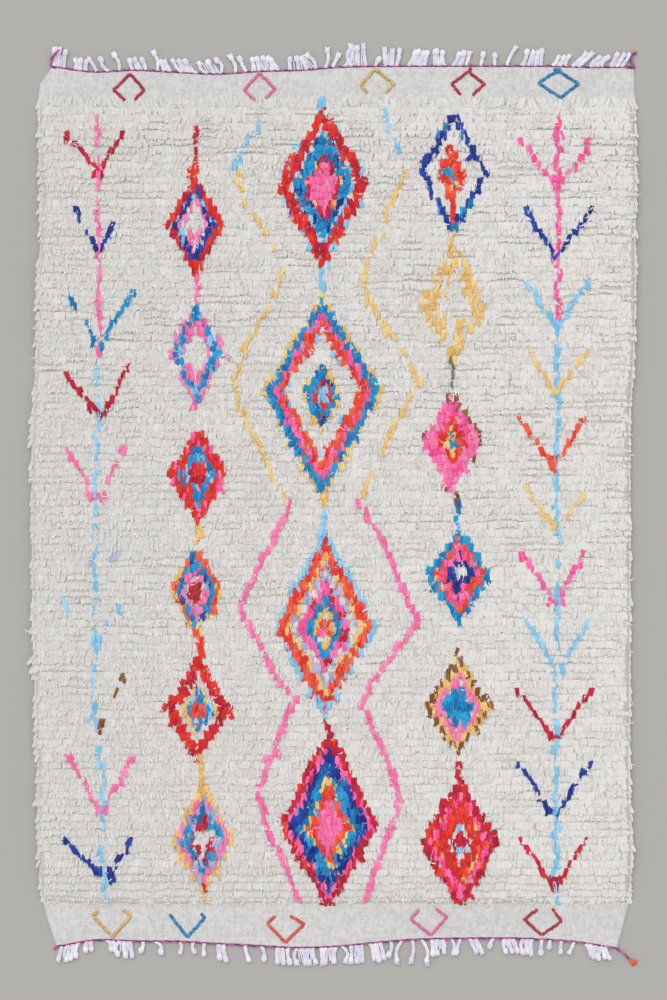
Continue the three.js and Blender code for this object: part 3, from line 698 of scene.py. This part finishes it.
chances = 1 + (DYED_WISPS - 1) * dyed
wisp_lock = rng.choice(lock_count, WISPS, replace=False, p=chances / chances.sum())
wisp_turn = rng.normal(0, 0.7, WISPS) * (1 - 0.5 * dyed[wisp_lock])
wisp_from = rng.uniform(0.35, 0.8, WISPS)
wisp_reach = WISP_LENGTH * rng.uniform(0.6, 1.1, WISPS)
shares = np.array([0.0, 0.5, 1.0])
start_x = lock_x[wisp_lock] + comb[wisp_lock] * reach[wisp_lock] * wisp_from**1.4
start_x -= COMBED_FROM * COMBED * slant[wisp_lock] * reach[wisp_lock]
start_y = root_y[wisp_lock] - reach[wisp_lock] * wisp_from
bend = wisp_turn[:, None] + rng.normal(0, 0.5, (WISPS, 1)) * shares
wisp = np.empty((WISPS, 3, 3))
wisp[..., 0] = start_x[:, None] + wisp_reach[:, None] * shares * np.sin(bend)
wisp[..., 1] = start_y[:, None] - wisp_reach[:, None] * shares * np.cos(bend)
wisp[..., 2] = lift[wisp_lock][:, None] + np.array([-0.001, 0.0022, 0.0016])
inside = (wisp[:, -1, 1] > PILE_START - 0.006) & (wisp[:, -1, 1] < PILE_END + 0.004)
for number, name in enumerate(YARNS):
    own = np.flatnonzero(inside & (yarn[wisp_lock] == number))
    sizes = WISP_WIDTH * np.array([1.0, 0.8])
    points, quads, triangles = lock_mesh(wisp[own], sizes, sizes)
    marks = {"tone": np.repeat(tone[wisp_lock[own]], len(points) // len(own)), "root": np.ones(len(points))}
    material = bpy.data.materials[name + "_wool"]
    piece = add_piece(f"wisps_{name}", points, [quads, triangles], material, marks, smooth=False)
    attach(piece, "root")

# End diamonds
# Small diamonds in yarn, most of them open, stitched over the flat weave at each end in flat overlapping
# stitches. Each is listed by the points that its line turns at, on the squares of the knotting chart.
STITCH_LENGTH = 0.011
STITCH_STEP = 0.0062
STITCH_WIDTH = 0.009
STITCH_HEIGHT = 0.0024
STITCH_SLANT = 0.35
STITCH_SHIFT = 0.0006
END_DIAMONDS = [
    ("crimson", [(124, 99), (113, 89), (130, 73), (144, 89), (134, 99)]),
    ("pink", [(254, 99), (244, 89), (259, 72), (275, 88), (264, 99)]),
    ("yellow", [(367, 92), (361, 84), (375, 68), (394, 83), (386, 92)]),
    ("crimson", [(461, 94), (452, 83), (468, 71), (471, 67), (470, 72), (485, 83), (473, 94)]),
    ("blue", [(561, 97), (539, 82), (554, 72), (560, 71), (555, 69), (560, 68), (562, 72), (579, 83),
        (561, 97)]),
    ("yellow", [(97, 913), (92, 916), (112, 938), (131, 916), (123, 911)]),
    ("blue", [(170, 916), (187, 938), (204, 919), (201, 914)]),
    ("coral", [(275, 917), (267, 924), (285, 943), (304, 925), (290, 917)]),
    ("pink", [(419, 911), (411, 920), (431, 936), (447, 918), (436, 910)]),
    ("crimson", [(537, 911), (525, 920), (542, 936), (562, 922), (553, 910)]),
]


def stitch_places(turns):
    """The middle and the direction of each stitch along a line through the turning points."""
    squares = (np.array(turns, float) - CHART_CENTRE) * [SQUARE, -SQUARE]
    middles, ways = [], []
    for start, end in zip(squares, squares[1:]):
        run = end - start
        steps = max(2, round(np.linalg.norm(run) / STITCH_STEP))
        for i in range(steps):
            middles.append(start + run * (i + 0.5) / steps)
            ways.append(unit(run))
    return np.array(middles), np.array(ways)


for number, (name, turns) in enumerate(END_DIAMONDS):
    middles, ways = stitch_places(turns)
    aslant = np.stack([-ways[:, 1], ways[:, 0]], axis=-1)
    lay = ways + STITCH_SLANT * aslant
    shares = np.array([-0.5, -0.2, 0.25, 0.5])
    stitch = np.empty((len(middles), 4, 3))
    stitch[..., :2] = middles[:, None] + lay[:, None] * shares[None, :, None] * STITCH_LENGTH
    stitch[..., 2] = WEAVE_THICKNESS + np.array([0.0, 0.0016, 0.0016, 0.0004])
    stitch += rng.normal(0, STITCH_SHIFT, (len(middles), 1, 3))
    sizes = np.array([0.6, 1.0, 0.8])
    points, quads, triangles = lock_mesh(stitch, STITCH_WIDTH * sizes, STITCH_HEIGHT * sizes)
    each = len(points) // len(middles)
    marks = {"tone": np.repeat(rng.random(len(middles)), each), "root": np.ones(len(points))}
    material = bpy.data.materials[name + "_wool"]
    piece = add_piece(f"end_diamond_{number + 1}", points, [quads, triangles], material, marks)
    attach(piece, "root")

# Twined end yarns
# Two wool yarns, one raspberry and one indigo, twined round each other along the last weft so that it can't
# slip off the warps. Each pair runs past the corners in a free tail.
PLY_RADIUS = 0.0019
PLY_OFFSET = 0.0015
PLY_SIDES = 7
TWINE_STEP = 0.003
TWIST_LENGTH = 0.034
TWINE_GAP = 0.0028
TWINE_POINTS = 60
TAIL_FROM = 0.785
CLOTH_MIDDLE = 0.025
TWINE_COLOURS = {"raspberry": ("e86c98", "c44674"), "indigo": ("625c9c", "3a3f78")}
TAILS = {
    "top": (
        [(-0.752, 1.262, 0.014), (-0.762, 1.251, 0.015), (-0.772, 1.237, 0.011)],
        [(0.827, 1.222, 0.004), (0.823, 1.240, 0.005), (0.827, 1.252, 0.005), (0.838, 1.256, 0.004)],
    ),
    "bottom": ([(-0.768, -1.217, 0.0035)], [(0.799, -1.226, 0.004), (0.817, -1.242, 0.0035)]),
}


def spaced_route(points, step):
    """A route through the points in even steps, its corners eased."""
    points = np.asarray(points, float)
    lengths = np.concatenate([[0], np.cumsum(np.linalg.norm(np.diff(points, axis=0), axis=1))])
    at = np.linspace(0, lengths[-1], max(4, round(lengths[-1] / step)))
    return np.stack([smooth_line(lengths, points[:, k], at) for k in range(points.shape[1])], axis=-1)


def ring_faces(rings, sides):
    """Quads between rings of points, and the two end faces."""
    r, k = np.mgrid[0 : rings - 1, 0:sides]
    a, b = (r * sides + k).ravel(), (r * sides + (k + 1) % sides).ravel()
    first_ring = np.arange(sides)
    ends = np.stack([first_ring, (rings - 1) * sides + first_ring[::-1]])
    return np.stack([a, a + sides, b + sides, b], axis=-1), ends


def tube(route, radius, sides):
    """A closed tube round a route, as points and faces."""
    way = np.gradient(route, axis=0)
    across = unit(np.cross(way, (0, 0, 1)))
    over = unit(np.cross(across, way))
    turn = np.arange(sides) * 2 * math.pi / sides
    radius = np.broadcast_to(radius, len(route))[:, None, None]
    spokes = across[:, None] * np.cos(turn)[:, None] + over[:, None] * np.sin(turn)[:, None]
    rings = route[:, None] + radius * spokes
    return rings.reshape(-1, 3), *ring_faces(len(route), sides)


def yarn_finish(name, light, dark, sheen=0.3):
    """Twisted yarn: fine slanting fibre lines and an uneven dye."""
    finish = Finish(name, 0.85, sheen)
    uptake = finish.ramp(finish.noise(finish.place, 45.0, 3.0), 0.35, 0.65)
    finish.dye(finish.mix(uptake, colour(light), colour(dark)))
    twist = finish.stretched((1, 0.3, 1), (0, 0, 0.6))
    finish.relief(finish.noise(twist, 1100.0, 2.0), 0.5, 0.0008)
    return finish.material


def end_route(end):
    """The line of an end's twined yarn, from tail to tail."""
    edge, line, outward_y = (TOP_EDGE, top_at, 1) if end == "top" else (BOTTOM_EDGE, bottom_at, -1)
    xs = np.linspace(edge[0, 0], edge[-1, 0], TWINE_POINTS)
    zs = np.full(TWINE_POINTS, PLY_RADIUS + PLY_OFFSET)
    body = list(zip(xs, line(xs) + outward_y * TWINE_GAP, zs))
    before, after = TAILS[end]
    return spaced_route(before + body + after, TWINE_STEP)


yarn_pair = {name: yarn_finish(name + "_yarn", *codes) for name, codes in TWINE_COLOURS.items()}
twines = {}
for end in ("top", "bottom"):
    centre = end_route(end)
    across = beside(np.gradient(centre, axis=0))
    pace = 0.6 + 0.8 * soft_noise(centre[:, 0], centre[:, 1], 0.05, 1.0, 21 if end == "top" else 22)
    phase = np.cumsum(pace) * TWINE_STEP * 2 * math.pi / TWIST_LENGTH
    for ply, name in enumerate(TWINE_COLOURS):
        turn = phase + ply * math.pi
        round_it = across * np.cos(turn)[:, None] + np.sin(turn)[:, None] * np.array([0, 0, 1])
        line = centre + PLY_OFFSET * round_it
        thick = PLY_RADIUS * (0.9 + 0.25 * soft_noise(line[:, 0], line[:, 1], 0.012, 1.0, 30 + ply))
        past_corner = np.abs(line[:, 0] - CLOTH_MIDDLE) - TAIL_FROM
        thick = thick * (1 + 0.5 * np.clip(past_corner / 0.01, 0, 1))
        points, quads, ends = tube(line, thick, PLY_SIDES)
        piece = add_piece(f"twine_{end}_{name}", points, [quads, ends], yarn_pair[name])
        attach(piece, "root")
        if ply == 0:
            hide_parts(f"twine_{end}")
        twines.setdefault(end, []).append(piece)

# Fringe
# The warps that stand out past the last weft, three plied yarns to a strand, each strand tied off in a knot
# with a short frayed end. Each group is listed by its first root, strands, pitch, lean and length in
# millimetres, then by the share of its width that its tips keep where they gather or spread.
MM = 0.001
STRAND_YARN = 0.0029
STRAND_SPREAD = 0.0027
STRAND_TURN = 0.034
KNOT_PLACE = 0.78
KNOT_SIZE = (0.009, 0.007, 0.005)
KNOT_SIDES = 9
KNOT_RINGS = 6
YARN_SIDES = 6
FRAYS = 7
FRAY_WIDTH = 0.0042
FRAY_HEIGHT = 0.0034
FILL_YARNS = 3
WARP_COLOURS = ("efedf6", "dad7e8")
FRINGE = {
    "top": [
        (-768, 3, 14, 3, 60), (-710, 3, 15, -5, 36), (-650, 1, 0, -27, 42), (-617, 1, 0, -22, 48),
        (-587, 1, 0, -25, 56), (-551, 3, 18, -14, 38, 0.8), (-482, 1, 0, -20, 62),
        (-464, 2, 17, -12, 38), (-414, 3, 20, -30, 46), (-345, 3, 19, -22, 42), (-267, 1, 0, -16, 51),
        (-238, 1, 0, -15, 47), (-220, 5, 18, -14, 42, 0.72), (-117, 4, 24, -14, 42, 0.6),
        (-20, 1, 0, 2, 68), (0, 1, 0, 26, 46), (32, 4, 20, 6, 70, 0.65), (117, 1, 0, 14, 28),
        (146, 3, 15, 4, 56, 1.15), (208, 4, 15, 15, 50, 0.9), (282, 3, 14, 2, 51),
        (330, 3, 19, 14, 46, 0.8), (408, 1, 0, 5, 46), (447, 1, 0, -3, 41), (480, 1, 0, 28, 62),
        (521, 4, 18, 8, 52, 0.85), (606, 3, 18, 12, 36, 0.9), (660, 2, 17, 42, 48), (710, 3, 16, 28, 32),
        (766, 3, 15, 22, 44),
    ],
    "bottom": [
        (-745, 4, 15, -4, 50, 1.15), (-677, 2, 13, 0, 30), (-622, 2, 15, 5, 34), (-587, 3, 15, 4, 50),
        (-521, 1, 0, -10, 34), (-488, 1, 0, 10, 42), (-419, 1, 0, 4, 38), (-384, 1, 0, 10, 32),
        (-353, 1, 0, 1, 42), (-315, 2, 15, 6, 52), (-240, 1, 0, 12, 54), (-196, 1, 0, 6, 46),
        (-152, 3, 15, 4, 52), (-98, 4, 15, 7, 54), (-32, 4, 14, 2, 54), (28, 1, 0, -1, 50),
        (50, 3, 15, -2, 56), (103, 3, 14, 10, 58), (162, 1, 0, -8, 46), (191, 1, 0, -11, 70),
        (221, 1, 0, -5, 76), (246, 1, 0, 6, 78), (274, 3, 15, 4, 50), (329, 1, 0, 0, 52),
        (353, 1, 0, -4, 50), (378, 2, 16, 22, 48), (444, 1, 0, -12, 28), (472, 3, 14, 13, 46),
        (524, 3, 14, 6, 50), (577, 1, 0, 0, 48), (601, 1, 0, 0, 28), (631, 1, 0, 0, 42),
        (667, 1, 0, -15, 40), (698, 5, 13.5, 13, 42),
    ],
}


class Bundle:
    """Points and faces of many small things, gathered for one mesh."""

    def __init__(self):
        self.points, self.faces, self.marks, self.count = [], {}, [], 0

    def add(self, points, *groups, mark=0.0):
        for faces in groups:
            faces = np.asarray(faces)
            self.faces.setdefault(faces.shape[1], []).append(faces + self.count)
        self.points.append(points)
        self.marks.append(np.full(len(points), mark))
        self.count += len(points)

    def piece(self, name, material):
        faces = [np.concatenate(group) for group in self.faces.values()]
        marks = {"tone": np.concatenate(self.marks), "root": np.ones(self.count)}
        return add_piece(name, np.concatenate(self.points), faces, material, marks)


def knot(centre, along, size):
    """A small knot: a round lump, longer or wider as its sizes say, laid along a direction."""
    across = beside(along)
    up = np.array([0.0, 0.0, 1.0])
    tilt = np.linspace(0.12, math.pi - 0.12, KNOT_RINGS)
    turn = np.arange(KNOT_SIDES) * 2 * math.pi / KNOT_SIDES
    lumps = 1 + 0.1 * np.sin(3 * turn)[None, :] * np.sin(tilt)[:, None]
    ring_points = (
        centre
        + along * (size[0] * -np.cos(tilt))[:, None, None]
        + across * (size[1] * np.sin(tilt)[:, None] * np.cos(turn) * lumps)[..., None]
        + up * (size[2] * np.sin(tilt)[:, None] * np.sin(turn) * lumps)[..., None]
    )
    # A knot's rings run the other way round than a tube's, so its faces are turned over.
    quads, ends = ring_faces(KNOT_RINGS, KNOT_SIDES)
    return ring_points.reshape(-1, 3), np.roll(quads[:, ::-1], 1, axis=1), ends[:, ::-1]


def add_strand(bundle, root, tip, seed):
    """One strand: twisted yarns up to a knot, and the frayed ends beyond it."""
    luck = np.random.default_rng(seed)
    run = tip - root
    length = np.linalg.norm(run)
    way = run / length
    across = beside(way)
    bow = luck.normal(0, 0.13) * length
    at = np.linspace(0, KNOT_PLACE, 12)
    mark = luck.random()
    for ply in range(3):
        turn = ply * 2 * math.pi / 3 + at * length * 2 * math.pi / STRAND_TURN + luck.random()
        line = root + run * at[:, None] + across * (bow * np.sin(at * math.pi))[:, None]
        line = line + across * (STRAND_SPREAD * np.cos(turn))[:, None]
        line[:, 2] = STRAND_YARN + 0.0011 * (1 + np.sin(turn))
        bundle.add(*tube(line, STRAND_YARN, YARN_SIDES), mark=mark)
    middle = root + run * (KNOT_PLACE + 0.04) + across * bow * math.sin(KNOT_PLACE * math.pi)
    middle[2] = KNOT_SIZE[2] * 0.95
    swell = luck.uniform(0.9, 1.25)
    bundle.add(*knot(middle, way, np.array(KNOT_SIZE) * swell), mark=mark)
    frays = np.linspace(-1, 1, FRAYS)
    shares = np.array([0.0, 0.35, 0.7, 1.0])
    fan = np.empty((FRAYS, 4, 3))
    reach = length * (1 - KNOT_PLACE) + 0.002
    out = frays * luck.uniform(0.6, 0.95) + luck.normal(0, 0.08, FRAYS)
    fan[:] = middle + way * (reach * (0.85 + 0.3 * luck.random(FRAYS)))[:, None, None] * shares[:, None]
    fan += across * (out[:, None] * (0.004 + reach * 0.4 * shares))[..., None]
    fan[..., 2] = np.array([0.004, 0.0045, 0.0035, 0.0015]) + luck.normal(0, 0.0004, (FRAYS, 4))
    sizes = np.array([0.9, 1.0, 0.8])
    points, quads, triangles = lock_mesh(fan, FRAY_WIDTH * sizes, FRAY_HEIGHT * sizes)
    bundle.add(points, quads, triangles, mark=mark)


def add_fill(bundle, roots, tips):
    """Loose warps between two neighbouring strands of a group."""
    for k in range(FILL_YARNS):
        share = (k + 0.5 + rng.normal(0, 0.12)) / FILL_YARNS
        root = roots[0] * (1 - share) + roots[1] * share
        tip = tips[0] * (1 - share) + tips[1] * share
        at = np.linspace(0, rng.uniform(0.62, 0.98), 8)
        line = root + (tip - root) * at[:, None]
        line[:, 0] += 0.0015 * np.sin(at * 4 + rng.uniform(0, 6)) * at
        line[:, 2] = STRAND_YARN * (0.8 + rng.uniform(0, 0.5))
        bundle.add(*tube(line, STRAND_YARN * np.linspace(0.95, 0.6, 8), YARN_SIDES), mark=rng.random())


warp_yarn = yarn_finish("warp_yarn", *WARP_COLOURS, sheen=0.4)
for end, groups in FRINGE.items():
    outward_y, line = (1, top_at) if end == "top" else (-1, bottom_at)
    bundle = Bundle()
    for group, (first_root, strands, pitch, lean, length, *gather) in enumerate(groups):
        spread = gather[0] if gather else 1
        for i in range(strands):
            x = (first_root + i * pitch) * MM
            shift = (lean + (i * pitch - (strands - 1) * pitch / 2) * (spread - 1)) * MM
            y = line(np.array([x]))[0]
            root = np.array([x, y + outward_y * 0.004, 0.003])
            uneven = 1 - 0.12 * rng.random()
            stray = rng.normal(0, 0.005 if strands == 1 else 0.0025)
            tip = np.array([x + shift + stray, y + outward_y * length * MM * uneven, 0.003])
            add_strand(bundle, root, tip, group * 10 + i + (0 if end == "top" else 1000))
            if i:
                add_fill(bundle, (before_root, root), (before_tip, tip))
            before_root, before_tip = root, tip
    piece = bundle.piece(f"fringe_{end}_strands", warp_yarn)
    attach(piece, "root")
    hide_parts(f"fringe_{end}")

# Corner tassel
# A small tuft of coral wool, bound onto the end of the bottom yarn's right tail and fanned out on the floor.
TASSEL_LOCKS = 15
TASSEL_LENGTH = 0.025
TASSEL_FAN = 0.95
TASSEL_LOCK_WIDTH = 0.0038
TASSEL_HEAD = (0.0045, 0.004, 0.0034)

before, start = (np.array(p) for p in TAILS["bottom"][1][-2:])
way = unit((start - before) * [1, 1, 0])
across = beside(way)
head = start + way * 0.003
bundle = Bundle()
bundle.add(*knot(head, way, TASSEL_HEAD), mark=0.4)
turns = np.linspace(-TASSEL_FAN / 2, TASSEL_FAN / 2, TASSEL_LOCKS)
aims = way * np.cos(turns)[:, None] + across * np.sin(turns)[:, None]
reach = TASSEL_LENGTH * rng.uniform(0.82, 1.0, TASSEL_LOCKS)
shares = np.array([0.05, 0.35, 0.7, 1.0])
fan = head + aims[:, None] * (reach[:, None] * shares)[..., None]
fan[..., 2] = np.array([0.0035, 0.0045, 0.004, 0.002]) + rng.normal(0, 0.0008, (TASSEL_LOCKS, 1))
sizes = np.array([0.7, 1.0, 1.0])
points, quads, triangles = lock_mesh(fan, TASSEL_LOCK_WIDTH * sizes, FRAY_HEIGHT * sizes)
bundle.add(points, quads, triangles, mark=0.3)
tassel = bundle.piece("corner_tassel", bpy.data.materials["coral_wool"])
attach(tassel, "root")
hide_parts("twine_tassel")

# Floor and light
# A plain pale studio floor, one broad soft light from the top left and an even pale sky, so that the rows of
# the pile shade gently towards the bottom end.
FLOOR_COLOURS = ("b2b0ad", "aeaca9")
FLOOR_SIZE = 60
FLOOR_DROP = 0.0004
SKY_COLOUR = (1.0, 0.99, 0.98, 1)
SKY_STRENGTH = 0.79
LIGHT_STRENGTH = 1.05
LIGHT_SPREAD = 50
LIGHT_TILT = (-42, 0, 22)

bpy.ops.mesh.primitive_plane_add(size=FLOOR_SIZE, location=(0, 0, -FLOOR_DROP))
studio_floor = bpy.context.object
studio_floor.name = "studio_floor"
finish = Finish("studio_floor", 0.9, 0.0)
floor_grain = finish.noise(finish.place, 3.0, 2.0)
finish.dye(finish.mix(floor_grain, colour(FLOOR_COLOURS[0]), colour(FLOOR_COLOURS[1])))
studio_floor.data.materials.append(finish.material)

world = bpy.data.worlds.new("studio_sky")
world.use_nodes = True
sky = world.node_tree.nodes["Background"]
sky.inputs["Color"].default_value = SKY_COLOUR
sky.inputs["Strength"].default_value = SKY_STRENGTH
bpy.context.scene.world = world

key = bpy.data.lights.new("key_light", "SUN")
key.energy = LIGHT_STRENGTH
key.angle = math.radians(LIGHT_SPREAD)
key_light = bpy.data.objects.new("key_light", key)
key_light.rotation_euler = [math.radians(turn) for turn in LIGHT_TILT]
bpy.context.scene.collection.objects.link(key_light)

# Camera
# Straight above the middle of the rug, as the rug was photographed, and far enough off that it looks flat.
CAMERA_HEIGHT = 6.0
VIEW_LENGTH = 2.75
VIEW_CENTRE = (0.00275, 0.022)
VIEW_FOCUS = 0.018
SENSOR = 36
FAR_LIMIT = 100

lens = bpy.data.cameras.new("camera")
lens.sensor_width = SENSOR
lens.lens = SENSOR * (CAMERA_HEIGHT - VIEW_FOCUS) / VIEW_LENGTH
lens.clip_end = FAR_LIMIT
camera = bpy.data.objects.new("camera", lens)
camera.location = (*VIEW_CENTRE, CAMERA_HEIGHT)
bpy.context.scene.collection.objects.link(camera)
bpy.context.scene.camera = camera
bpy.context.scene.view_settings.view_transform = "Standard"
